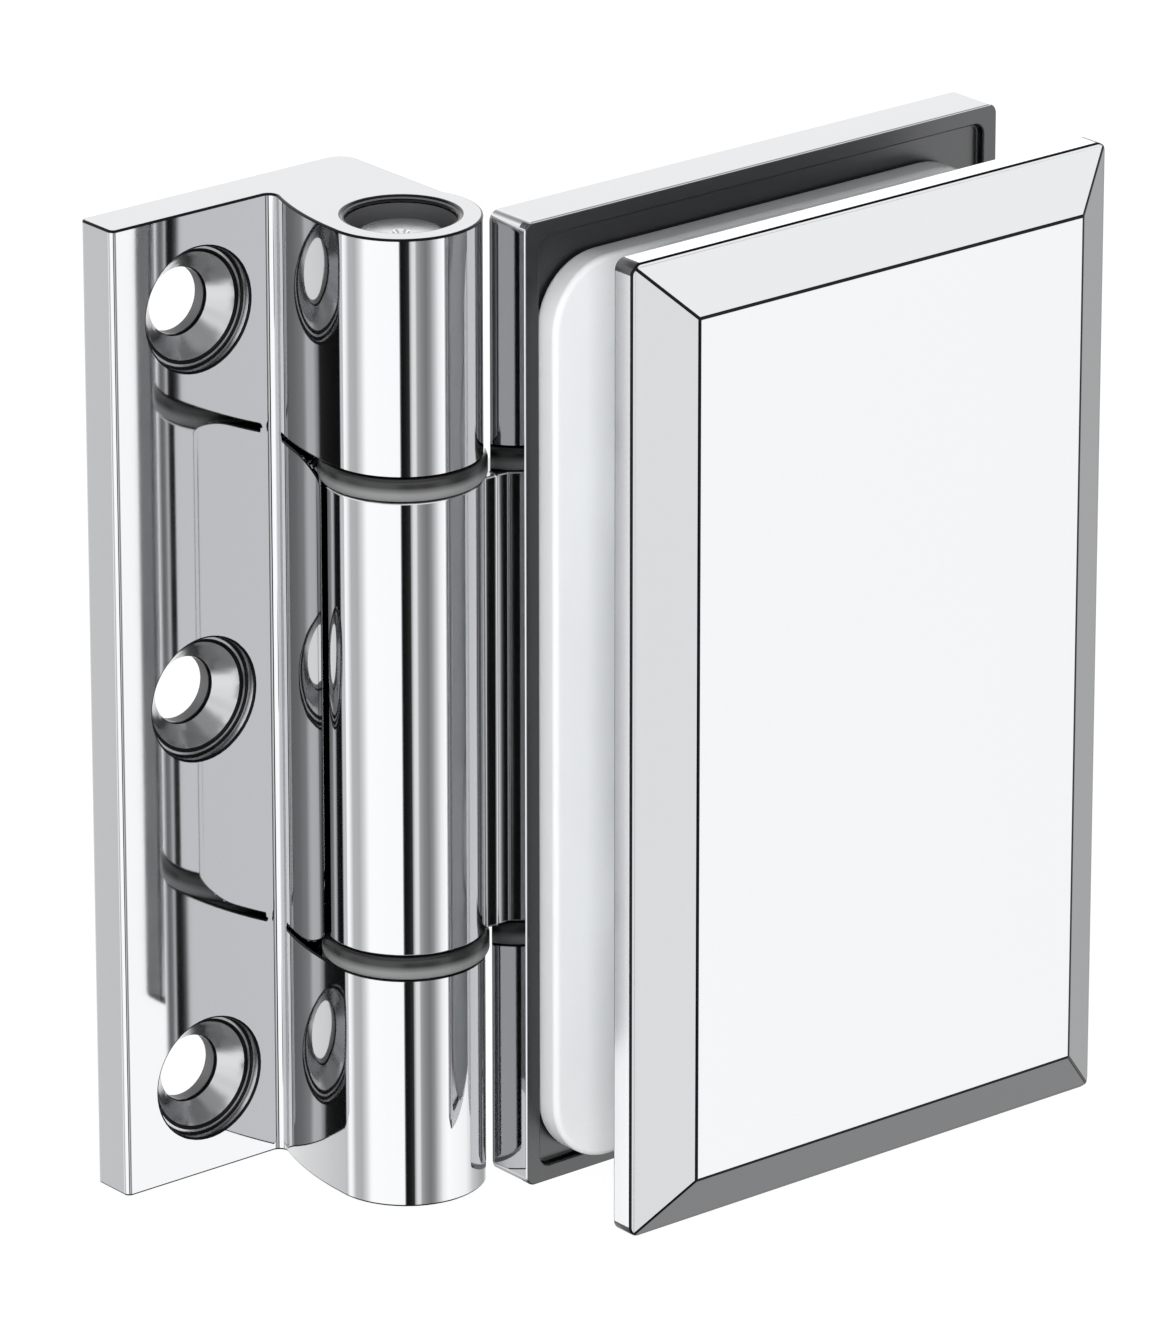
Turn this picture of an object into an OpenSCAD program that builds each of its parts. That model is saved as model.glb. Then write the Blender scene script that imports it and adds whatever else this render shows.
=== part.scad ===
// Glass door hinge: a wall leaf and a glass leaf on one vertical pin.
// X runs from the wall side to the glass side, Y away from the viewer, Z up along the pin.
// The origin is on the pin's axis, level with the bottom ends of both leaves.

/* [Overall] */
// Height of both leaves along the pin
hinge_h = 90; // [84:1:130]
// Width of the two plates that hold the glass
plate_w = 54; // [48:1:80]
// Thickness of the glass that the hinge is set for
glass_t = 8; // [6:0.5:12]

/* [Barrel] */
// Diameter of the barrel
barrel_d = 14.2; // [13.8:0.1:15.4]
// Diameter of the hinge pin
pin_d = 9.6; // [8:0.1:9.8]
// Depth of the pin's ends below the ends of the barrel
pin_recess = 1.6; // [0.6:0.1:3]
// Chamfer on each end of the pin
pin_chamfer = 1.2; // [0.4:0.1:2]
// Diameter of the centre mark turned in each end of the pin
centre_mark_d = 1.4; // [0.8:0.1:2]
// Chamfer on the rim of the barrel's bore
bore_chamfer = 0.4; // [0.2:0.1:0.8]
// Height of each outer knuckle
knuckle_h = 21.7; // [16:0.1:26]
// Thickness of the two friction washers
washer_t = 2.1; // [1.2:0.1:3]
// How far each washer stands out past the barrel
washer_lip = 0.3; // [0.1:0.1:0.5]
// Rounding on the washers' outer edges
washer_round = 0.5; // [0.2:0.1:0.55]
// End play between each washer and the middle knuckle
end_play = 0.1; // [0.05:0.01:0.2]
// Wall of the bushes in the middle knuckle
bush_wall = 1.05; // [0.8:0.05:1.1]
// Length of each bush
bush_l = 14; // [8:0.5:16]
// Radial running clearance between the pin and the bushes
bush_clearance = 0.05; // [0.03:0.01:0.09]

/* [Wall leaf] */
// Distance from the pin's axis to the free edge of the wall plate
wall_reach = 22.2; // [20:0.1:40]
// Distance from the pin's axis back to the front face of the wall plate
wall_offset = 11.8; // [11.2:0.1:16]
// Thickness of the wall plate
wall_t = 4.6; // [4.2:0.1:8]
// Distance from the pin's axis to the corner between plate and arm
arm_root = 4.7; // [3:0.1:6]
// Step from the barrel's widest point in to the flat side behind it
side_step = 0.5; // [0.3:0.1:1]
// Radius of that inner corner
arm_fillet = 0.8; // [0.3:0.1:1.5]
// Gap between the middle knuckle and the hollow of the arm
arm_clearance = 0.35; // [0.3:0.05:0.6]
// Height of the slit that parts the outer arms from the middle one
slit_h = 0.5; // [0.3:0.1:1]
// Material left between the ends of the slits and the plate's front
slit_land = 0.2; // [0.1:0.1:1]
// Rounding of the middle arm where a slit opens into the hollow
slit_round = 2; // [1:0.1:3]
// Rounding of the long rear edge behind the barrel
rear_round = 1.8; // [0.5:0.1:2.5]
// Rounding of the plate's free edges
free_round = 0.6; // [0.2:0.1:1.5]

/* [Wall screw holes] */
// Distance from the plate's free edge to the row of holes
hole_edge = 9.2; // [8:0.1:11]
// Distance from the leaf's ends to the outer holes
hole_end = 9; // [8:0.5:14]
// Diameter of the holes
hole_d = 6; // [4.5:0.1:6.5]
// Diameter of the recess in the plate's face
recess_d = 11.2; // [10.6:0.1:12]
// Depth of that recess
recess_depth = 1.1; // [0.5:0.1:1.4]
// Diameter of the countersink where it leaves the recess
sink_d = 10; // [8:0.1:10.4]
// Depth of the countersink
sink_depth = 2; // [1.5:0.1:2.4]

/* [Glass leaf] */
// Distance from the pin's axis to the near edges of both plates
plate_gap = 6.4; // [6.4:0.1:12]
// Distance from the pin's axis forward to the rear face of the back plate
plate_front = 4; // [4:0.1:8]
// Thickness of the back plate
plate_t = 5; // [4.6:0.1:8]
// Step from the back plate's front face down to the web of the knuckle
web_step = 4; // [1:0.1:4.2]
// Distance from the pin's axis forward to the rear face of the web
web_rear = 1; // [0.5:0.1:2]
// Depth of the pocket that holds each pad
pocket_depth = 0.8; // [0.4:0.1:1.2]
// Width of the rim around each pocket
pocket_rim = 1.6; // [1.2:0.1:3]
// Rounding of the plates' corners
plate_round = 1; // [0.5:0.1:3]

/* [Glass pads] */
// How far the pads stand out of the pockets
pad_proud = 2; // [1:0.1:3]
// Gap between a pad's long edges and the rim of its pocket
pad_margin = 0.5; // [0.3:0.1:3]
// Gap between a pad's ends and the rim of its pocket
pad_end_margin = 1.2; // [0.3:0.1:3]
// How much of the side margin the pads have moved towards the barrel, 0 for none
pad_aside = 0.8; // [0:0.1:0.9]
// How much of the end margin the pads have sunk, 0 for none
pad_sunk = 0.9; // [0:0.1:0.9]
// Corner radius of the pads
pad_round = 6.3; // [2:0.1:9]

/* [Front cover] */
// Thickness of the cover's edge
cover_edge = 2.3; // [1.5:0.1:4]
// Rise of the bevel from the edge to the raised face
bevel_rise = 3; // [2:0.1:5]
// Width of the bevel seen from the front
bevel_w = 5.1; // [3:0.1:9]

/* [Clamp] */
// Distance from the plates' near edge to the clamp screws
clamp_inset = 16; // [12:0.5:22]
// Distance between the two clamp screws
clamp_pitch = 38; // [28:1:46]
// Diameter of the clamp screws
screw_d = 6; // [5:0.5:6]
// Diameter of the screws' countersunk heads
screw_head_d = 11.6; // [10:0.1:12]
// Width across the flats of the screws' hexagon sockets
socket_af = 4; // [3:0.5:4.5]
// Depth of the hexagon sockets
socket_depth = 2.4; // [1.5:0.1:2.8]
// Gap around the screws in the back plate
screw_clearance = 0.3; // [0.2:0.05:0.5]
// Diameter of the threaded bosses on the cover
boss_d = 10; // [9:0.1:11]
// Height of the bosses above the cover's back
boss_h = 4; // [2:0.1:5]
// Solid metal left in front of the threaded holes
thread_floor = 1.1; // [0.8:0.1:2]
// Thread left free in front of each screw's tip
tip_gap = 0.5; // [0.2:0.1:1]
// Wall of the sleeves around the screws
sleeve_wall = 1.2; // [0.8:0.1:2]
// Radial gap between a sleeve and its boss, and around a sleeve in the pads
sleeve_clearance = 0.1; // [0.05:0.05:0.3]
// Gap between the end of a sleeve and the back plate's pocket
sleeve_end_gap = 0.4; // [0.2:0.1:1]

/* [Hidden] */
$fn = 96;
eps = 0.01;
big = 400;
over = 1;

chrome = [0.86, 0.87, 0.89];
steel = [0.75, 0.76, 0.78];
nylon = [0.62, 0.63, 0.64];
clear_vinyl = [0.92, 0.94, 0.95];

mid_z = hinge_h / 2;
barrel_r = barrel_d / 2;
pin_r = pin_d / 2;
washer_r = barrel_r + washer_lip;
slot_h = washer_t + end_play;
mid_low = knuckle_h + slot_h;
mid_high = hinge_h - mid_low;
hollow_r = barrel_r + arm_clearance;
slit_r = wall_offset - slit_land;
bush_r = pin_r + bush_clearance;
bush_outer_r = bush_r + bush_wall;

// The arm's left face: one large arc that leaves the barrel and swells out to the inner corner
arc_step = 0.02;
root = [-arm_root, wall_offset];
side_x = barrel_r - side_step;
arm_lean = barrel_r - arc_step - arm_root;
arm_r = (wall_offset ^ 2 + arm_lean ^ 2) / (2 * arm_lean);
arm_centre = [arm_r + arc_step - barrel_r, 0];
arm_fn = 720;
fillet_y = wall_offset - arm_fillet;
fillet_centre = [arm_centre[0] - sqrt((arm_r + arm_fillet) ^ 2 - fillet_y ^ 2), fillet_y];
fillet_end = arm_centre + arm_r * (fillet_centre - arm_centre) / (arm_r + arm_fillet);

hole_x = hole_edge - wall_reach;
hole_zs = [hole_end, mid_z, hinge_h - hole_end];

plate_face = -(plate_front + plate_t);
metal_gap = glass_t + 2 * pad_proud;
cover_back = plate_face - metal_gap;
cover_t = cover_edge + bevel_rise;
plate_mid = [plate_gap + plate_w / 2, mid_z];
pocket_w = plate_w - 2 * pocket_rim;
pocket_h = hinge_h - 2 * pocket_rim;
pad_w = pocket_w - 2 * pad_margin;
pad_h = pocket_h - 2 * pad_end_margin;
pad_t = pad_proud + pocket_depth;

clamp_x = plate_gap + clamp_inset;
clamp_zs = [mid_z - clamp_pitch / 2, mid_z + clamp_pitch / 2];
screw_r = screw_d / 2;
screw_hole_r = screw_r + screw_clearance;
screw_head_r = screw_head_d / 2;
screw_head_h = screw_head_r - screw_r;
boss_r = boss_d / 2;
boss_end = cover_back + boss_h;
sleeve_inner_r = boss_r + sleeve_clearance;
sleeve_r = sleeve_inner_r + sleeve_wall;
pad_hole_r = sleeve_r + sleeve_clearance;
thread_end = cover_back - cover_t + thread_floor;
screw_l = -plate_front - thread_end - tip_gap;

// Rectangle about its own centre with true arcs at the corners
module round_rect(w, h, r) {
  square([w - 2 * r, h], center = true);
  square([w, h - 2 * r], center = true);
  for (sx = [-1, 1], sy = [-1, 1])
    translate([sx * (w / 2 - r), sy * (h / 2 - r)]) circle(r);
}

// What a rounding of radius r takes off a square corner at the origin, in the quadrant of sx, sy
module corner_waste(r, sx, sy) {
  mirror([sx < 0 ? 1 : 0, 0]) mirror([0, sy < 0 ? 1 : 0])
    difference() {
      translate([-r, -r]) square(r + eps);
      translate([-r, -r]) circle(r);
    }
}

// Upright plate, its rear face at y, thickness t towards the viewer, centred on the glass plates
module front_slab(w, h, r, y, t) {
  translate([plate_mid[0], y, plate_mid[1]]) rotate([90, 0, 0])
    linear_extrude(t) round_rect(w, h, r);
}

// Round bar along -Y from y, at a clamp screw's place
module clamp_rod(z, y, r, l) {
  translate([clamp_x, y, z]) rotate([90, 0, 0]) cylinder(r = r, h = l);
}

// Plan of the wall leaf: plate, arm and barrel as one outline
module wall_plan() {
  difference() {
    union() {
      translate([-wall_reach, wall_offset]) square([wall_reach + side_x, wall_t]);
      intersection() {
        translate([-barrel_r, 0]) square([barrel_r + side_x, wall_offset + eps]);
        translate(arm_centre) circle(arm_r, $fn = arm_fn);
      }
      circle(barrel_r);
      difference() {
        polygon([root, [fillet_centre[0], wall_offset], fillet_centre, fillet_end]);
        translate(fillet_centre) circle(arm_fillet);
      }
    }
    translate([side_x, wall_offset + wall_t]) corner_waste(rear_round, 1, 1);
    translate([-wall_reach, wall_offset + wall_t]) corner_waste(free_round, -1, 1);
    translate([-wall_reach, wall_offset]) corner_waste(free_round, -1, -1);
  }
}

// Recessed and countersunk hole through the wall plate
module wall_screw_hole(z) {
  translate([hole_x, wall_offset, z]) rotate([-90, 0, 0]) {
    translate([0, 0, -eps]) cylinder(d = hole_d, h = wall_t + 2 * eps);
    translate([0, 0, -eps]) cylinder(d = recess_d, h = recess_depth + eps);
    translate([0, 0, recess_depth]) cylinder(d1 = sink_d, d2 = hole_d, h = sink_depth);
  }
}

// Cut that frees the middle knuckle and both washers
module arm_hollow() {
  hollow_h = hinge_h - 2 * knuckle_h;
  slit_low = hollow_h / 2 - slit_h;
  translate([0, 0, mid_z]) rotate_extrude() {
    translate([0, -hollow_h / 2]) square([hollow_r, hollow_h]);
    for (end = [0, 1])
      mirror([0, end]) {
        translate([0, slit_low]) square([slit_r, slit_h]);
        translate([hollow_r, slit_low]) corner_waste(slit_round, -1, 1);
      }
  }
}

// Bore for the pin, with a chamfer on both outer rims
module pin_bore() {
  mouth_r = pin_r + bore_chamfer + over;
  rotate_extrude() polygon([
    [0, -over], [mouth_r, -over], [pin_r, bore_chamfer],
    [pin_r, hinge_h - bore_chamfer], [mouth_r, hinge_h + over], [0, hinge_h + over]
  ]);
}

module wall_leaf() {
  color(chrome) difference() {
    linear_extrude(hinge_h) wall_plan();
    arm_hollow();
    pin_bore();
    for (z = hole_zs) wall_screw_hole(z);
  }
}

module hinge_pin() {
  pin_l = hinge_h - 2 * pin_recess;
  mark_r = centre_mark_d / 2;
  color(steel) translate([0, 0, pin_recess]) rotate_extrude() polygon([
    [0, mark_r], [mark_r, 0], [pin_r - pin_chamfer, 0], [pin_r, pin_chamfer],
    [pin_r, pin_l - pin_chamfer], [pin_r - pin_chamfer, pin_l],
    [mark_r, pin_l], [0, pin_l - mark_r]
  ]);
}

// Friction washer with rounded outer edges, its lower face at z
module washer(z) {
  translate([0, 0, z]) rotate_extrude() difference() {
    translate([pin_r, 0]) square([washer_r - pin_r, washer_t]);
    translate([washer_r, washer_t]) corner_waste(washer_round, 1, 1);
    translate([washer_r, 0]) corner_waste(washer_round, 1, -1);
  }
}

module upper_washer() {
  color(nylon) washer(hinge_h - knuckle_h - washer_t);
}

module lower_washer() {
  color(nylon) washer(knuckle_h);
}

// Countersunk screw at height z, its head flush with the back plate's rear face
module clamp_screw(z) {
  difference() {
    union() {
      clamp_rod(z, -plate_front, screw_r, screw_l);
      translate([clamp_x, -plate_front, z]) rotate([90, 0, 0])
        cylinder(r1 = screw_head_r, r2 = screw_r, h = screw_head_h);
    }
    translate([clamp_x, -plate_front + eps, z]) rotate([90, 0, 0])
      cylinder(d = socket_af / cos(30), h = socket_depth, $fn = 6);
  }
}

module upper_clamp_screw() {
  color(steel) clamp_screw(clamp_zs[1]);
}

module lower_clamp_screw() {
  color(steel) clamp_screw(clamp_zs[0]);
}

// Hole in the back plate for one clamp screw
module clamp_hole(z) {
  clamp_rod(z, -plate_front + over, screw_hole_r, plate_t + 2 * over);
  translate([clamp_x, -plate_front, z]) rotate([90, 0, 0])
    cylinder(r1 = screw_head_r, r2 = screw_r, h = screw_head_h);
}

// Middle knuckle with the web that carries the back plate
module middle_knuckle() {
  web_face = plate_face + web_step;
  translate([0, 0, mid_low]) cylinder(r = barrel_r, h = mid_high - mid_low);
  translate([0, web_face, mid_low])
    cube([plate_gap + eps, -web_rear - web_face, mid_high - mid_low]);
  translate([plate_gap, -plate_front - eps, mid_low])
    cube([plate_front - web_rear, plate_front - web_rear + eps, mid_high - mid_low]);
}

module glass_leaf() {
  color(chrome) difference() {
    union() {
      front_slab(plate_w, hinge_h, plate_round, -plate_front, plate_t);
      middle_knuckle();
    }
    front_slab(pocket_w, pocket_h, plate_round, plate_face + pocket_depth, pocket_depth + eps);
    translate([0, 0, mid_low - over])
      cylinder(r = bush_outer_r, h = mid_high - mid_low + 2 * over);
    for (z = clamp_zs) clamp_hole(z);
  }
}

// Plain bush in the middle knuckle, its lower end at z
module bush(z) {
  translate([0, 0, z]) difference() {
    cylinder(r = bush_outer_r, h = bush_l);
    translate([0, 0, -eps]) cylinder(r = bush_r, h = bush_l + 2 * eps);
  }
}

module upper_bush() {
  color(nylon) bush(mid_high - bush_l);
}

module lower_bush() {
  color(nylon) bush(mid_low);
}

// Glass pad with its rear face at y
module pad(y) {
  difference() {
    translate([-pad_aside * pad_margin, 0, -pad_sunk * pad_end_margin])
      front_slab(pad_w, pad_h, pad_round, y, pad_t);
    for (z = clamp_zs) clamp_rod(z, y + over, pad_hole_r, pad_t + 2 * over);
  }
}

module rear_pad() {
  color(clear_vinyl) pad(plate_face + pocket_depth);
}

module front_pad() {
  color(clear_vinyl) pad(cover_back + pad_proud);
}

// Waste off one long side of a slab of length l: outside the bevel plane, at x = 0
module bevel_waste(l) {
  slope = bevel_rise / bevel_w;
  reach = 2;
  rotate([90, 0, 0]) linear_extrude(l, center = true) polygon([
    [-reach, cover_edge - reach * slope], [bevel_w + reach, cover_t + reach * slope],
    [-reach, cover_t + reach * slope]
  ]);
}

module front_cover() {
  color(chrome) difference() {
    union() {
      difference() {
        front_slab(plate_w, hinge_h, plate_round, cover_back, cover_t);
        translate([plate_mid[0], cover_back, plate_mid[1]]) rotate([90, 0, 0]) {
          for (side = [0, 180])
            rotate(side) translate([-plate_w / 2, 0, 0]) bevel_waste(big);
          for (side = [90, 270])
            rotate(side) translate([-hinge_h / 2, 0, 0]) bevel_waste(big);
        }
        front_slab(pocket_w, pocket_h, plate_round, cover_back + eps, pocket_depth + eps);
      }
      for (z = clamp_zs)
        clamp_rod(z, boss_end, boss_r, boss_h + pocket_depth + eps);
    }
    for (z = clamp_zs)
      clamp_rod(z, boss_end + over, screw_r, boss_end + over - thread_end);
  }
}

// Sleeve that keeps one clamp screw off the glass
module sleeve(z) {
  sleeve_back = cover_back - pocket_depth;
  sleeve_l = metal_gap + 2 * pocket_depth - sleeve_end_gap;
  difference() {
    clamp_rod(z, sleeve_back + sleeve_l, sleeve_r, sleeve_l);
    clamp_rod(z, sleeve_back + sleeve_l + over, sleeve_inner_r, sleeve_l + 2 * over);
  }
}

module upper_sleeve() {
  color(clear_vinyl) sleeve(clamp_zs[1]);
}

module lower_sleeve() {
  color(clear_vinyl) sleeve(clamp_zs[0]);
}

wall_leaf();
hinge_pin();
upper_washer();
lower_washer();
glass_leaf();
upper_bush();
lower_bush();
rear_pad();
front_pad();
front_cover();
upper_clamp_screw();
lower_clamp_screw();
upper_sleeve();
lower_sleeve();
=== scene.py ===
"""Looks of a glass door hinge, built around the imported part.

The part's own solids stay where they are. This script rounds their edges, gives each a
procedural finish, and sets the studio and the camera of the photograph.
All lengths are in metres, in the part's own frame: X from wall to glass, Z up the pin.
"""

import logging
import math
from dataclasses import dataclass
from enum import Enum, IntEnum

import bpy
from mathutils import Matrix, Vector

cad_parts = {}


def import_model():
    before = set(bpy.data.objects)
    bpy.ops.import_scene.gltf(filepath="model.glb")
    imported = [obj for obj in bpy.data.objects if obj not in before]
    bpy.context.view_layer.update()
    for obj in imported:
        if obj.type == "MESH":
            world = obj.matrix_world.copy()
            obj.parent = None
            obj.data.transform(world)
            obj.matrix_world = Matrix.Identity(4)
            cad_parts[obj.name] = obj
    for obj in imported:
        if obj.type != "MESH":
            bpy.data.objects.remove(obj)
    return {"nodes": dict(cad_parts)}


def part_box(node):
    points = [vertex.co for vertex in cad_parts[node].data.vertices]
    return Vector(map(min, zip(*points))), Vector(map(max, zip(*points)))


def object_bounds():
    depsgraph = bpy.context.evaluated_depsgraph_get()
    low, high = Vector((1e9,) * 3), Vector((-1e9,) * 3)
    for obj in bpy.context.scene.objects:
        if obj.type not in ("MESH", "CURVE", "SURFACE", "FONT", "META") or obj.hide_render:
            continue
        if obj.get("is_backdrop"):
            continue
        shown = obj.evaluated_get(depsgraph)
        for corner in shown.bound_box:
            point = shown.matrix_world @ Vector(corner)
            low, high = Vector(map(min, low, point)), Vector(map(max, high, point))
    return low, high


LOG = logging.getLogger("hinge")
MM = 0.001

# How far light spreads inside a soft piece
SOFT_DEPTH = 2 * MM

# Each finish has slow waves and fine ones, which repeat more often and are lower
SLOW_DETAIL = 2.0
FINE_DETAIL = 4.0
FINE_WAVES = 9
FINE_HEIGHT = 0.05
NOISE_MEAN = 0.5

# Points nearer than this are joined, and faces flatter than this are one face
WELD_GAP = 0.0005 * MM
FLAT_ANGLE = math.radians(0.6)
FLAT_WEIGHT = 60

Rgb = tuple[float, float, float]
Rgba = tuple[float, float, float, float]


class Level(Enum):
    """Which of two equal pieces, one above the other."""

    UPPER = "upper"
    LOWER = "lower"


class Ray(Enum):
    """The kinds of ray that the studio answers in their own way."""

    CAMERA = "Is Camera Ray"
    GLOSSY = "Is Glossy Ray"
    TRANSMISSION = "Is Transmission Ray"


class MixSocket(IntEnum):
    """Numbers of a Mix node's colour sockets."""

    LOW = 6
    HIGH = 7
    RESULT = 2


def grey(level: float) -> Rgba:
    """An opaque grey as a colour."""
    return (level, level, level, 1.0)


class Sock:
    """A shader socket that Python arithmetic turns into Math nodes."""

    def __init__(self, graph: "Graph", socket: bpy.types.NodeSocket | None) -> None:
        """Wraps a socket.

        Args:
            graph: The graph that new Math nodes go into.
            socket: The output socket to wrap, or None for a node without outputs.
        """
        self.graph = graph
        self.socket = socket

    def _math(self, operation: str, *values: "Sock | float") -> "Sock":
        """One Math node on these values."""
        return self.graph.node("ShaderNodeMath", {"operation": operation}, dict(enumerate(values)))

    def __add__(self, other: "Sock | float") -> "Sock":
        """self + other."""
        return self._math("ADD", self, other)

    __radd__ = __add__

    def __sub__(self, other: "Sock | float") -> "Sock":
        """self - other."""
        return self._math("SUBTRACT", self, other)

    def __rsub__(self, other: "Sock | float") -> "Sock":
        """other - self."""
        return self._math("SUBTRACT", other, self)

    def __mul__(self, other: "Sock | float") -> "Sock":
        """self * other."""
        return self._math("MULTIPLY", self, other)

    __rmul__ = __mul__

    def __truediv__(self, other: "Sock | float") -> "Sock":
        """self / other."""
        return self._math("DIVIDE", self, other)

    def __rtruediv__(self, other: "Sock | float") -> "Sock":
        """other / self."""
        return self._math("DIVIDE", other, self)

    def __lt__(self, other: "Sock | float") -> "Sock":
        """1 where self < other, else 0."""
        return self._math("LESS_THAN", self, other)

    def __gt__(self, other: "Sock | float") -> "Sock":
        """1 where self > other, else 0."""
        return self._math("GREATER_THAN", self, other)

    def __mod__(self, other: "Sock | float") -> "Sock":
        """self modulo other."""
        return self._math("MODULO", self, other)

    def __rmod__(self, other: "Sock | float") -> "Sock":
        """other modulo self."""
        return self._math("MODULO", other, self)

    def maximum(self, other: "Sock | float") -> "Sock":
        """The larger of the two."""
        return self._math("MAXIMUM", self, other)

    def clamped(self) -> "Sock":
        """The value kept within 0 and 1."""
        return self.graph.node("ShaderNodeClamp", None, {"Value": self})

    def hypot(self, other: "Sock | float") -> "Sock":
        """The length of the vector (self, other)."""
        return self._math("SQRT", self * self + other * other)

    def arctan2(self, other: "Sock | float") -> "Sock":
        """The angle of the point (other, self)."""
        return self._math("ARCTAN2", self, other)

    def arcsine(self) -> "Sock":
        """The angle whose sine this is."""
        return self._math("ARCSINE", self)


class Graph:
    """A node tree that is written as code."""

    def __init__(self, tree: bpy.types.NodeTree) -> None:
        """Empties a tree.

        Args:
            tree: The material's or world's node tree.
        """
        self.tree = tree
        tree.nodes.clear()

    def node(
        self,
        kind: str,
        settings: dict[str, object] | None = None,
        inputs: dict[str | int, object] | None = None,
        output: str | int = 0,
    ) -> Sock:
        """Makes one node.

        Args:
            kind: The node's type name.
            settings: Its own settings, set first; "stops" fills a colour ramp.
            inputs: Values or Socks for its sockets, by name or number.
            output: The output to return.

        Returns:
            The chosen output, wrapped.
        """
        made = self.tree.nodes.new(kind)
        for name, value in (settings or {}).items():
            if name == "stops":
                self._fill_ramp(made, value)
            else:
                setattr(made, name, value)
        for name, value in (inputs or {}).items():
            if isinstance(value, Sock):
                self.tree.links.new(value.socket, made.inputs[name])
            else:
                made.inputs[name].default_value = value
        if not len(made.outputs):
            return Sock(self, None)
        return Sock(self, made.outputs[output])

    @staticmethod
    def _fill_ramp(ramp: bpy.types.Node, stops: list[tuple[float, float]]) -> None:
        """Fills a colour ramp with grey stops.

        Args:
            ramp: The colour ramp node.
            stops: Place and grey level of each stop, in order.
        """
        elements = ramp.color_ramp.elements
        while len(elements) > 1:
            elements.remove(elements[-1])
        for index, (place, level) in enumerate(stops):
            element = elements[0] if index == 0 else elements.new(place)
            element.position = place
            element.color = grey(level)

    def place(self, kind: str = "Object") -> tuple[Sock, Sock, Sock]:
        """The three coordinates of the shaded point.

        Args:
            kind: The coordinate output to use.

        Returns:
            X, Y and Z.
        """
        at = self.node("ShaderNodeTexCoord", output=kind)
        outputs = self.node("ShaderNodeSeparateXYZ", None, {0: at}).socket.node.outputs
        x, y, z = (Sock(self, outputs[axis]) for axis in range(3))
        return x, y, z

    def ramp(self, stops: list[tuple[float, float]], place: Sock) -> Sock:
        """A grey level that follows a value through a list of stops.

        Args:
            stops: Place and grey level of each stop, in order.
            place: The value, from 0 to 1.

        Returns:
            The grey level.
        """
        return self.node("ShaderNodeValToRGB", {"stops": stops}, {"Fac": place})

    def mix(self, share: Sock | float, low: Sock | Rgba, high: Sock | Rgba) -> Sock:
        """Two colours mixed.

        Args:
            share: 0 for the first colour, 1 for the second.
            low: The first colour.
            high: The second colour.

        Returns:
            The mixed colour.
        """
        inputs = {"Factor": share, MixSocket.LOW: low, MixSocket.HIGH: high}
        return self.node("ShaderNodeMix", {"data_type": "RGBA"}, inputs, MixSocket.RESULT)

    def ray(self, kind: Ray) -> Sock:
        """Whether the ray that is being traced is of one kind.

        Args:
            kind: The kind.

        Returns:
            1 or 0.
        """
        return self.node("ShaderNodeLightPath", output=kind.value)

    def noise(self, scale: float, detail: float) -> Sock:
        """Noise in the part's own coordinates.

        Args:
            scale: Waves per metre.
            detail: Octaves of finer noise.

        Returns:
            A value about NOISE_MEAN.
        """
        place = self.node("ShaderNodeTexCoord", output="Object")
        inputs = {"Vector": place, "Scale": scale, "Detail": detail}
        return self.node("ShaderNodeTexNoise", None, inputs)


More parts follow.
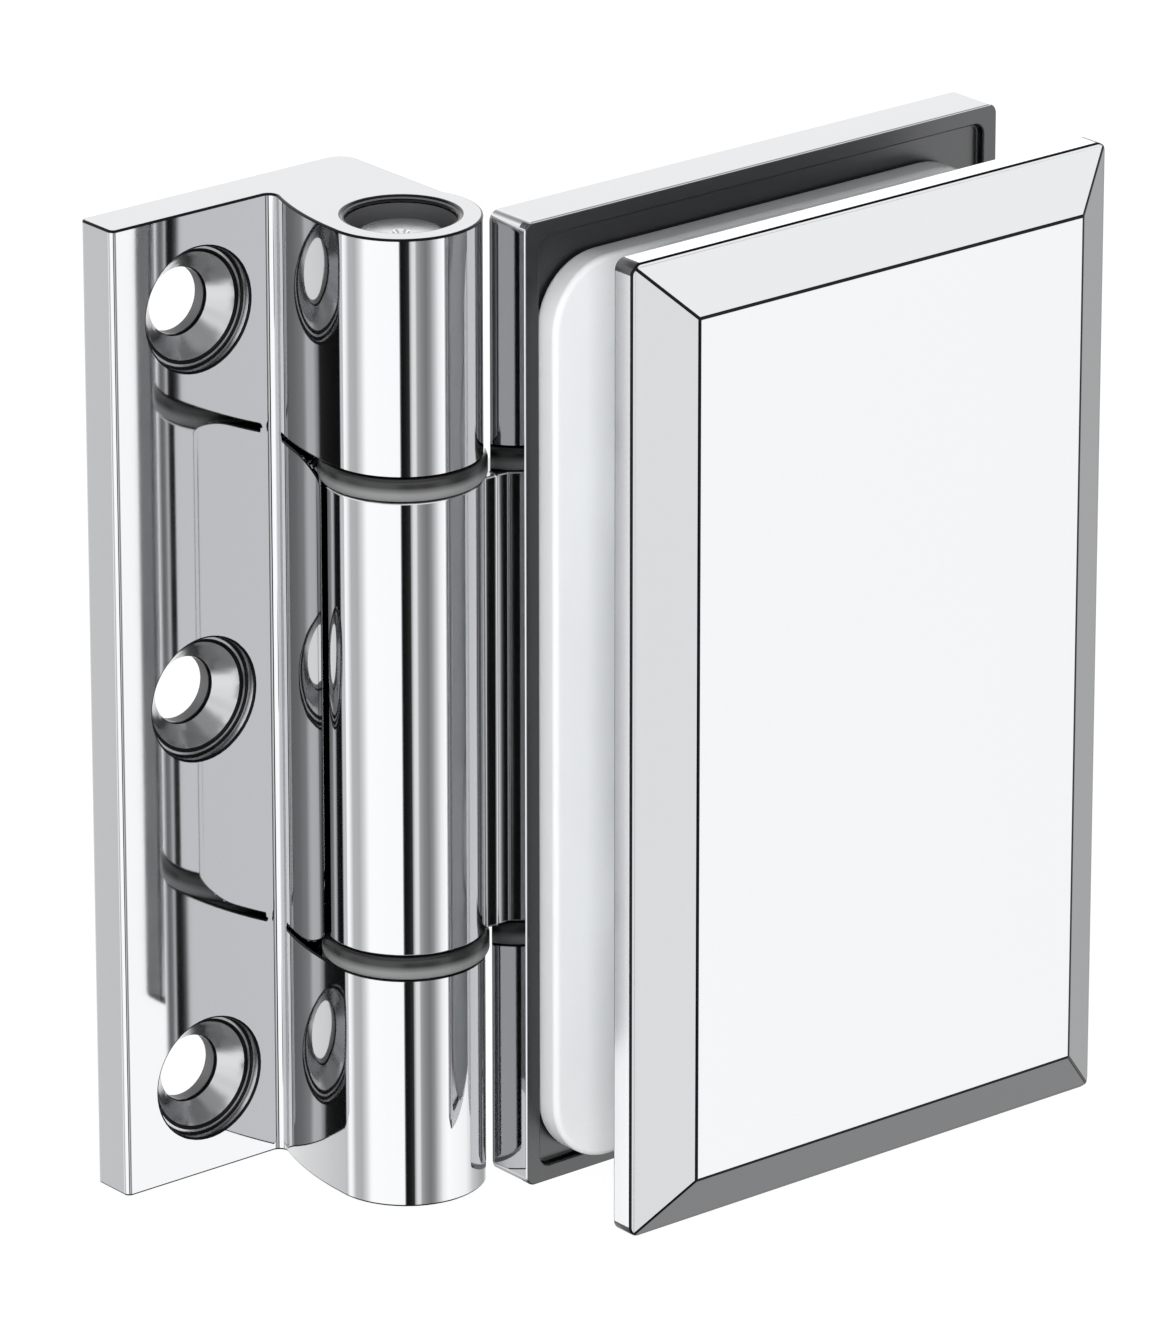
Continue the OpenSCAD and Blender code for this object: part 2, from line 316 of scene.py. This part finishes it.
@dataclass(frozen=True)
class Finish:
    """A surface finish, with the waves, the worked and shaded faces and the brushed and lit faces
    that a finish can have.

    Scales are in waves per metre and tones are factors for the colour. Worked and shaded faces
    have worked_roughness in place of roughness and a colour darkened as painted shade. Brushed
    and lit faces have brushed_roughness added and a colour made paler as painted light.
    """

    name: str
    color: Rgb
    metallic: float
    roughness: float
    roughness_swing: float
    wave_scale: float
    wave_height: float
    tone_swing: float
    subsurface: float = 0.0
    ior: float = 1.5
    worked_roughness: float = 0.3
    # Colour factor on worked and shaded faces: painted shade
    painted_shade_tone: float = 0.8
    brushed_roughness: float = 0.14
    # Colour factor on brushed and lit faces: painted light, paler than the finish
    painted_light_tone: float = 1.65

    def worked_and_shaded_faces(self, graph: Graph) -> Sock | None:
        """Where the surface is left as the cutter made it, and where shade is painted on it.

        Args:
            graph: The material's graph.

        Returns:
            1 on those faces, less where it is less so, else 0. None where there are none.
        """
        return None

    def brushed_and_lit_faces(self, graph: Graph) -> Sock | None:
        """Where the surface is brushed rather than polished, and light is painted on it as a paler
        colour.

        Args:
            graph: The material's graph.

        Returns:
            1 on those faces, else 0. None where there are none.
        """
        return None

    def shade(self, share: float) -> Rgba:
        """The finish's colour, darkened or made paler.

        Args:
            share: The factor for the colour, over 1 for a paler one.

        Returns:
            The colour with its alpha.
        """
        red, green, blue = self.color
        return (red * share, green * share, blue * share, 1.0)

    def material(self) -> bpy.types.Material:
        """Builds the material, once.

        Returns:
            The material, shared by every piece with this finish.
        """
        found = bpy.data.materials.get(self.name)
        if found:
            return found
        made = bpy.data.materials.new(self.name)
        made.use_nodes = True
        graph = Graph(made.node_tree)
        slow = graph.noise(self.wave_scale, SLOW_DETAIL)
        fine = graph.noise(self.wave_scale * FINE_WAVES, FINE_DETAIL)
        roughness = self.roughness + (fine - NOISE_MEAN) * self.roughness_swing
        tone = graph.mix(slow, self.shade(1 - self.tone_swing), self.shade(1))
        # Painted shade: worked and shaded faces take a darker colour
        worked_and_shaded = self.worked_and_shaded_faces(graph)
        if worked_and_shaded:
            roughness = roughness + worked_and_shaded * (self.worked_roughness - self.roughness)
            tone = graph.mix(worked_and_shaded, tone, self.shade(self.painted_shade_tone))
        # Painted light: brushed and lit faces take a paler colour
        brushed_and_lit = self.brushed_and_lit_faces(graph)
        if brushed_and_lit:
            roughness = roughness + brushed_and_lit * self.brushed_roughness
            tone = graph.mix(brushed_and_lit, tone, self.shade(self.painted_light_tone))
        bump = graph.node(
            "ShaderNodeBump", None,
            {"Height": slow + fine * FINE_HEIGHT, "Distance": self.wave_height, "Strength": 1.0},
        )
        surface = graph.node(
            "ShaderNodeBsdfPrincipled", None,
            {
                "Base Color": tone,
                "Metallic": self.metallic,
                "Roughness": roughness,
                "Normal": bump,
                "IOR": self.ior,
                "Subsurface Weight": self.subsurface,
                "Subsurface Radius": (SOFT_DEPTH, SOFT_DEPTH, SOFT_DEPTH),
                "Subsurface Scale": 1.0,
            },
        )
        graph.node("ShaderNodeOutputMaterial", None, {"Surface": surface})
        return made


@dataclass(frozen=True)
class Chrome(Finish):
    """Polished chrome plating."""

    color: Rgb = (0.53, 0.535, 0.545)
    metallic: float = 1.0
    roughness: float = 0.045
    roughness_swing: float = 0.02
    wave_scale: float = 22.0
    wave_height: float = 0.003 * MM
    tone_swing: float = 0.01


@dataclass(frozen=True)
class DrilledChrome(Chrome):
    """Chrome of the wall leaf, whose screw holes and pin bore keep their turned faces.

    The turned faces are rougher, and their colour is darkened as painted shade in the holes.
    """

    # From the plate's free edge and from its ends to the holes
    hole_edge: float = 9.2 * MM
    hole_end: float = 9.0 * MM
    # The plate's depth without its polished front and rear faces
    plate_depth: float = 4.55 * MM
    rear_skin: float = 0.1 * MM
    recess_r: float = 5.62 * MM
    through_r: float = 3.1 * MM
    pin_margin: float = 0.35 * MM
    # The countersinks take this share of the roughness and of the painted shade
    sink_share: float = 0.3
    worked_roughness: float = 0.6
    # Colour factor of the painted shade in the bores
    painted_shade_tone: float = 0.32

    def worked_and_shaded_faces(self, graph: Graph) -> Sock:
        """The walls of the screw holes and of the pin bore, rough and darkened as painted shade.

        Args:
            graph: The material's graph.

        Returns:
            1 in the straight bores, less in the countersinks, else 0.
        """
        x, y, z = graph.place()
        low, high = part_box("wall_leaf")
        pitch = (high.z - low.z) / 2 - self.hole_end
        off_z = (z + (pitch / 2 - self.hole_end)) % pitch - pitch / 2
        off_axis = (x - (low.x + self.hole_edge)).hypot(off_z)
        in_plate = (y > high.y - self.plate_depth) * (y < high.y - self.rear_skin)
        in_sink = (off_axis < self.recess_r) * in_plate * self.sink_share
        in_hole = (off_axis < self.through_r) * in_plate
        pin_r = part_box("hinge_pin")[1].x
        in_bore = x.hypot(y) < pin_r + self.pin_margin
        return in_sink.maximum(in_hole).maximum(in_bore)


@dataclass(frozen=True)
class Nylon(Finish):
    """Grey moulded nylon."""

    color: Rgb = (0.30, 0.31, 0.31)
    metallic: float = 0.0
    roughness: float = 0.42
    roughness_swing: float = 0.12
    wave_scale: float = 700.0
    wave_height: float = 0.01 * MM
    tone_swing: float = 0.08


@dataclass(frozen=True)
class WasherNylon(Nylon):
    """Nylon of the washers, with a painted shadow on the upper part of each, under its knuckle."""

    color: Rgb = (0.24, 0.245, 0.245)
    # From a washer's lower face to the start of the painted shadow, and from there to its full tone
    unshaded_h: float = 0.75 * MM
    band: float = 0.6 * MM
    # Colour factor of the painted shadow
    painted_shade_tone: float = 0.05

    def worked_and_shaded_faces(self, graph: Graph) -> Sock:
        """The upper part of each washer's rim, where a shadow under the knuckle is painted.

        Args:
            graph: The material's graph.

        Returns:
            1 at the upper face, falling to 0 over the band.
        """
        z = graph.place()[2]
        starts = [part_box(f"{level.value}_washer")[0].z + self.unshaded_h for level in Level]
        upper, lower = [((z - start) / self.band).clamped() for start in starts]
        return upper + lower * (z < sum(starts) / len(starts))


@dataclass(frozen=True)
class ClampChrome(Chrome):
    """Chrome of the clamping plates, dull in the glass slot and brushed round the cover.

    The slot's colour is darkened as painted shade, the brushed rim is made paler as painted
    light, and the rim's corners are darkened as a painted reflection of dark.
    """

    # Each of these ends a little off the faces that it parts
    bevel_rise: float = 2.95 * MM
    rim_w: float = 2.4 * MM
    pad_margin: float = 0.1 * MM
    inset: float = 0.12 * MM
    # Size of the rim's corners, where a dark reflection is painted
    corner: float = 1.0 * MM
    # Colour factor of the painted shade in the slot and of the painted dark reflection at the
    # corners
    painted_shade_tone: float = 0.16

    def _rim(self, graph: Graph) -> tuple[Sock, Sock]:
        """The cover's straight rim behind its bevels, and the rim's corners, where a dark
        reflection is painted.

        Args:
            graph: The material's graph.

        Returns:
            1 on the rim, else 0, and 1 on its corners, else 0.
        """
        x, y, z = graph.place()
        low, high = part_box("front_cover")
        front = low.y + self.bevel_rise
        rim = (y > front) * (y < front + self.rim_w)
        at_side = (x < low.x + self.corner) + (x > high.x - self.corner)
        at_end = (z < low.z + self.corner) + (z > high.z - self.corner)
        return rim, rim * at_side * at_end

    def worked_and_shaded_faces(self, graph: Graph) -> Sock:
        """The rim and the pocket on the side of the glass, darkened as painted shade, and the
        corners of the cover's rim, darkened as a painted reflection of dark.

        Args:
            graph: The material's graph.

        Returns:
            1 on those faces, else 0.
        """
        x, y, z = graph.place()
        low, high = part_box("front_cover")
        slot_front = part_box("front_pad")[0].y - self.pad_margin
        slot_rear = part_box("rear_pad")[1].y + self.pad_margin
        in_slot = (y > slot_front) * (y < slot_rear)
        in_width = (x > low.x + self.inset) * (x < high.x - self.inset)
        in_height = (z > low.z + self.inset) * (z < high.z - self.inset)
        return (in_slot * in_width * in_height).maximum(self._rim(graph)[1])

    def brushed_and_lit_faces(self, graph: Graph) -> Sock:
        """The cover's straight rim without its corners, made paler as painted light.

        Args:
            graph: The material's graph.

        Returns:
            1 on the rim, else 0.
        """
        rim, corners = self._rim(graph)
        # Painted light: the rim takes a paler colour than the chrome
        return rim - corners


DRILLED_CHROME = DrilledChrome("drilled_chrome")
CLAMP_CHROME = ClampChrome("clamp_chrome")
# Near black chrome for the rounded edges: a painted reflection of dark, drawing thin dark edge
# lines
PAINTED_DARK_EDGES = Chrome(
    "painted_dark_edges", color=(0.012, 0.012, 0.013),
    roughness=0.12, roughness_swing=0.04, wave_scale=40.0, tone_swing=0.02,
)
NYLON = Nylon("grey_nylon")
SHADOWED_WASHER_NYLON = WasherNylon("nylon_painted_shadow")
PIN_STEEL = Finish(
    "ground_steel", color=(0.80, 0.81, 0.82), metallic=1.0,
    roughness=0.22, roughness_swing=0.08,
    wave_scale=260.0, wave_height=0.004 * MM, tone_swing=0.06,
)
SCREW_STEEL = Finish(
    "plated_screw", color=(0.74, 0.75, 0.76), metallic=1.0,
    roughness=0.2, roughness_swing=0.08,
    wave_scale=300.0, wave_height=0.004 * MM, tone_swing=0.08,
)
VINYL = Finish(
    "milky_vinyl", color=(0.88, 0.895, 0.905), metallic=0.0,
    roughness=0.34, roughness_swing=0.1,
    wave_scale=120.0, wave_height=0.01 * MM, tone_swing=0.03, subsurface=0.25,
)


@dataclass
class Dressing:
    """One CAD node with its finish and the rounding of its edges."""

    node: str
    finish: Finish
    rounding: float = 0.0
    segments: int = 3
    sharp_angle: float = math.radians(24)
    # Near black colour for the rounded strips, a painted reflection of dark along the edges
    painted_edge_darkness: Finish | None = None

    def _round_edges(self, piece: bpy.types.Object) -> None:
        """Rounds every sharp edge of a piece.

        Args:
            piece: The node's object.
        """
        bevel = piece.modifiers.new("round_edges", "BEVEL")
        bevel.width = self.rounding
        bevel.segments = self.segments
        bevel.limit_method = "ANGLE"
        bevel.angle_limit = self.sharp_angle
        bevel.miter_outer = "MITER_ARC"
        bevel.use_clamp_overlap = False
        bevel.harden_normals = True
        # The rounded strips take the near black colour: painted dark edge lines
        if self.painted_edge_darkness:
            piece.data.materials.append(self.painted_edge_darkness.material())
            bevel.material = len(piece.data.materials) - 1

    def dress(self, nodes: dict[str, bpy.types.Object]) -> bpy.types.Object:
        """Rounds the node's edges and gives it its finish.

        Args:
            nodes: The frame's nodes by name.

        Returns:
            The node's object.
        """
        piece = nodes[self.node]
        piece.data.materials.clear()
        piece.data.materials.append(self.finish.material())
        for face in piece.data.polygons:
            face.use_smooth = True
        weld = piece.modifiers.new("join_corners", "WELD")
        weld.merge_threshold = WELD_GAP
        flats = piece.modifiers.new("merge_flats", "DECIMATE")
        flats.decimate_type = "DISSOLVE"
        flats.angle_limit = FLAT_ANGLE
        if self.rounding:
            self._round_edges(piece)
        flatten = piece.modifiers.new("keep_flats_flat", "WEIGHTED_NORMAL")
        flatten.mode = "FACE_AREA"
        flatten.weight = FLAT_WEIGHT
        LOG.info("dressed %s with %s", self.node, self.finish.name)
        return piece


@dataclass
class WallSide:
    """The wall leaf with its pin and washers."""

    edge: float = 0.2 * MM
    pin_edge: float = 0.08 * MM

    def build(self, nodes: dict[str, bpy.types.Object]) -> list[bpy.types.Object]:
        """Dresses every piece of the wall side.

        Args:
            nodes: The frame's nodes by name.

        Returns:
            The dressed pieces.
        """
        parts = [
            Dressing("wall_leaf", DRILLED_CHROME, self.edge, painted_edge_darkness=PAINTED_DARK_EDGES),
            Dressing("hinge_pin", PIN_STEEL, self.pin_edge),
        ]
        parts += [Dressing(f"{level.value}_washer", SHADOWED_WASHER_NYLON) for level in Level]
        return [part.dress(nodes) for part in parts]


@dataclass
class GlassSide:
    """The glass leaf with its cover, pads, bushes, screws and sleeves."""

    edge: float = 0.2 * MM
    cover_edge: float = 0.16 * MM
    pad_edge: float = 0.55 * MM
    pad_segments: int = 4
    small_edge: float = 0.12 * MM

    def build(self, nodes: dict[str, bpy.types.Object]) -> list[bpy.types.Object]:
        """Dresses every piece of the glass side.

        Args:
            nodes: The frame's nodes by name.

        Returns:
            The dressed pieces.
        """
        parts = [
            Dressing("glass_leaf", CLAMP_CHROME, self.edge),
            Dressing("front_cover", CLAMP_CHROME, self.cover_edge, painted_edge_darkness=PAINTED_DARK_EDGES),
            Dressing("rear_pad", VINYL, self.pad_edge, self.pad_segments),
            Dressing("front_pad", VINYL, self.pad_edge, self.pad_segments),
        ]
        for level in Level:
            parts += [
                Dressing(f"{level.value}_bush", NYLON, self.small_edge),
                Dressing(f"{level.value}_clamp_screw", SCREW_STEEL, self.small_edge),
                Dressing(f"{level.value}_sleeve", VINYL, self.small_edge),
            ]
        return [part.dress(nodes) for part in parts]


@dataclass(frozen=True)
class Lamp:
    """One soft lamp, unseen by the camera and by polished metal."""

    name: str
    offset: tuple[float, float, float]
    watts: float
    size: float = 0.5

    def hang(self, aim: Vector) -> None:
        """Hangs the lamp.

        Args:
            aim: The point that it faces, which its offset is counted from.
        """
        data = bpy.data.lights.new(self.name, "AREA")
        data.shape = "SQUARE"
        data.size = self.size
        data.energy = self.watts
        lamp = bpy.data.objects.new(self.name, data)
        lamp.location = aim + Vector(self.offset)
        lamp.rotation_mode = "QUATERNION"
        lamp.rotation_quaternion = (-Vector(self.offset)).to_track_quat("-Z", "Y")
        lamp.visible_glossy = False
        lamp.visible_camera = False
        bpy.context.scene.collection.objects.link(lamp)


@dataclass(frozen=True)
class Studio:
    """White surround with narrow dark flags, a pale floor and soft lamps."""

    # Azimuth in degrees, then the level of the white and dark flags that polished metal sees
    flags: tuple[tuple[float, float], ...] = (
        (-180, 1.0), (-132, 0.98), (-130.6, 0.004), (-123, 0.012),
        (-118, 0.03), (-116.6, 0.4), (-115.4, 0.5), (-114, 0.72), (-109.5, 0.74),
        (-107.5, 0.36), (-101, 0.24), (-94, 0.18), (-88, 0.27), (-81, 0.56), (-75, 0.86),
        (-67, 1.0), (-34, 0.9), (-18, 0.55), (4, 0.36), (16, 0.32), (34, 0.7),
        (50, 0.78), (118, 0.6), (131, 0.5), (139, 0.95), (144, 0.95),
        (152, 0.46), (163, 0.43), (171, 0.66), (177, 0.92), (180, 1.0),
    )
    # Elevation in degrees, then how much of the flags shows there
    flag_share: tuple[tuple[float, float], ...] = (
        (-90, 0.0), (-37, 0.0), (-32, 1.0), (-13, 1.0), (-9, 0.5), (7, 0.5), (14, 0.0), (90, 0.0),
    )
    # Elevation in degrees, then the level between the flags
    plain: tuple[tuple[float, float], ...] = (
        (-90, 0.25), (-62, 0.2), (-50, 0.22), (-42, 0.4), (-34, 0.8), (-9, 0.85), (9, 0.85),
        (14, 0.76), (22, 0.76), (27, 0.86), (34, 0.86), (42, 0.3), (60, 0.3), (69, 0.6), (90, 0.66),
    )
    surround_gain: float = 1.82
    ambient: float = 0.3
    floor_grey: float = 0.6
    grain: float = 0.01
    grain_scale: float = 40.0
    floor_glow: float = 1.22
    floor_shadow: float = 0.22
    floor_half: float = 3.0
    floor_gap: float = 0.1 * MM
    lamps: tuple[Lamp, ...] = (
        Lamp("key", offset=(-0.66, -0.74, 0.04), watts=12.4),
        Lamp("rear", offset=(0.75, 0.45, 0.45), watts=5.0),
    )

    def surround_level(self, graph: Graph) -> Sock:
        """What polished metal sees in each direction.

        Args:
            graph: The world's graph.

        Returns:
            The grey level of the direction.
        """
        x, y, z = graph.place("Generated")
        turn = y.arctan2(x) / math.tau + 0.5
        lift = z.arcsine() / math.pi + 0.5
        flags = graph.ramp([((a + 180) / 360, level) for a, level in self.flags], turn)
        share = graph.ramp([((e + 90) / 180, level) for e, level in self.flag_share], lift)
        plain = graph.ramp([((e + 90) / 180, level) for e, level in self.plain], lift)
        return (flags * share + plain * (1 - share)) * self.surround_gain

    def light_world(self) -> None:
        """Sets the world: white to the camera, the surround to metal, plain light to the rest."""
        world = bpy.data.worlds.new("studio")
        bpy.context.scene.world = world
        world.use_nodes = True
        graph = Graph(world.node_tree)
        seen = graph.ray(Ray.CAMERA).maximum(graph.ray(Ray.TRANSMISSION))
        glossy = graph.ray(Ray.GLOSSY)
        level = (1 - seen) * (1 - glossy) * self.ambient + seen
        level = level + (1 - seen) * glossy * self.surround_level(graph)
        back = graph.node("ShaderNodeBackground", None, {"Color": level, "Strength": 1.0})
        graph.node("ShaderNodeOutputWorld", None, {"Surface": back})

    def lay_floor(self) -> None:
        """Makes the pale floor: near white from above with a soft shadow, clear from below."""
        mesh = bpy.data.meshes.new("floor")
        half = self.floor_half
        low = -self.floor_gap
        corners = [(-half, -half, low), (half, -half, low), (half, half, low), (-half, half, low)]
        mesh.from_pydata(corners, [], [(0, 1, 2, 3)])
        floor = bpy.data.objects.new("floor", mesh)
        bpy.context.scene.collection.objects.link(floor)
        material = bpy.data.materials.new("pale_floor")
        material.use_nodes = True
        graph = Graph(material.node_tree)
        grain = graph.noise(self.grain_scale, SLOW_DETAIL)
        color = graph.mix(grain, grey(self.floor_grey - self.grain), grey(self.floor_grey))
        matt = graph.node("ShaderNodeBsdfDiffuse", None, {"Color": color})
        white = {"Color": grey(1.0), "Strength": self.floor_glow}
        glow = graph.node("ShaderNodeEmission", None, white)
        share = graph.ray(Ray.CAMERA) * (1 - self.floor_shadow)
        mixed = graph.node("ShaderNodeMixShader", None, {0: share, 1: matt, 2: glow})
        below = graph.node("ShaderNodeNewGeometry", output="Backfacing")
        clear = graph.node("ShaderNodeBsdfTransparent")
        surface = graph.node("ShaderNodeMixShader", None, {0: below, 1: mixed, 2: clear})
        graph.node("ShaderNodeOutputMaterial", None, {"Surface": surface})
        mesh.materials.append(material)
        floor.visible_glossy = False
        floor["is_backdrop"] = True

    def build(self, aim: Vector) -> None:
        """Builds the whole studio.

        Args:
            aim: The point that the lamps face.
        """
        self.light_world()
        self.lay_floor()
        for lamp in self.lamps:
            lamp.hang(aim)


@dataclass(frozen=True)
class PhotoCamera:
    """The camera of the photograph, as a plain pinhole without shift."""

    azimuth: float = math.radians(-39.42)
    elevation: float = math.radians(20.83)
    distance: float = 0.9
    along: float = 15.98 * MM
    aim_height: float = 48.11 * MM
    focal_pixels: float = 10306.0
    frame_height: float = 1339.0
    sensor: float = 36.0
    nearest: float = 0.05
    farthest: float = 20.0

    def build(self) -> None:
        """Makes the camera and sets it as the scene's."""
        a, e = self.azimuth, self.elevation
        right = Vector((math.cos(a), math.sin(a), 0))
        back = Vector((math.sin(a) * math.cos(e), -math.cos(a) * math.cos(e), math.sin(e)))
        aim = right * self.along + Vector((0, 0, self.aim_height))
        data = bpy.data.cameras.new("photo_camera")
        data.sensor_fit = "AUTO"
        data.sensor_width = self.sensor
        data.lens = self.focal_pixels / self.frame_height * self.sensor
        data.clip_start = self.nearest
        data.clip_end = self.farthest
        camera = bpy.data.objects.new("photo_camera", data)
        bpy.context.scene.collection.objects.link(camera)
        camera.rotation_mode = "QUATERNION"
        camera.location = aim + back * self.distance
        camera.rotation_quaternion = (-back).to_track_quat("-Z", "Y")
        bpy.context.scene.camera = camera


def main() -> None:
    """Builds the scene in order and reports each piece."""
    logging.basicConfig(level=logging.INFO, format="%(name)s: %(message)s")
    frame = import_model()
    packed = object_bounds()
    nodes = frame["nodes"]
    bpy.context.scene.view_settings.view_transform = "Standard"
    PhotoCamera().build()
    pieces = WallSide().build(nodes) + GlassSide().build(nodes)
    Studio().build((packed[0] + packed[1]) / 2)
    LOG.info("%d pieces dressed of %d nodes", len(pieces), len(nodes))


if __name__ == "__main__":
    main()
